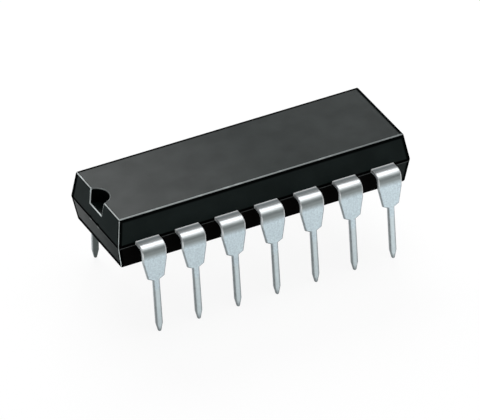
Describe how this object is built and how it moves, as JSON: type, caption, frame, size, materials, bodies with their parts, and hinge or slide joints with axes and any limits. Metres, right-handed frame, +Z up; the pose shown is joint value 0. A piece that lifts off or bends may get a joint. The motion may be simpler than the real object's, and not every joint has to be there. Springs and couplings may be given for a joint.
{
  "type": "dual in-line integrated circuit package",
  "caption": "Black moulded block with an index notch and two rows of splayed tin-plated through-hole leads; carries a circuit die on a copper frame.",
  "frame": {"origin": "middle of the footprint, at the level of the lead tips that the part stands on", "axes": "+X along the body, away from the end with the index notch; +Y across the body towards leads 8 to 14; +Z up, from the tips to the top face"},
  "size_m": [0.019, 0.0088, 0.0073],
  "materials": {
    "epoxy_moulding": "fine matt grain from the mould",
    "tin_plated_strip": "satin tin plating",
    "copper_strip": "rolled copper alloy strip",
    "silver_adhesive": "silver-filled adhesive",
    "silicon": "polished silicon with metal pads",
    "gold_wire": "bright gold wire"
  },
  "bodies": {
    "root": {"moulded_body": "epoxy_moulding", "lead_1": "tin_plated_strip", "lead_2": "tin_plated_strip", "lead_3": "tin_plated_strip", "lead_4": "tin_plated_strip", "lead_5": "tin_plated_strip", "lead_6": "tin_plated_strip", "lead_7": "tin_plated_strip", "lead_8": "tin_plated_strip", "lead_9": "tin_plated_strip", "lead_10": "tin_plated_strip", "lead_11": "tin_plated_strip", "lead_12": "tin_plated_strip", "lead_13": "tin_plated_strip", "lead_14": "tin_plated_strip", "die_paddle": "copper_strip", "die_attach": "silver_adhesive", "silicon_die": "silicon", "bond_wire_1": "gold_wire", "bond_wire_2": "gold_wire", "bond_wire_3": "gold_wire", "bond_wire_4": "gold_wire", "bond_wire_5": "gold_wire", "bond_wire_6": "gold_wire", "bond_wire_7": "gold_wire", "bond_wire_8": "gold_wire", "bond_wire_9": "gold_wire", "bond_wire_10": "gold_wire", "bond_wire_11": "gold_wire", "bond_wire_12": "gold_wire", "bond_wire_13": "gold_wire", "bond_wire_14": "gold_wire"}
  },
  "joints": []
}
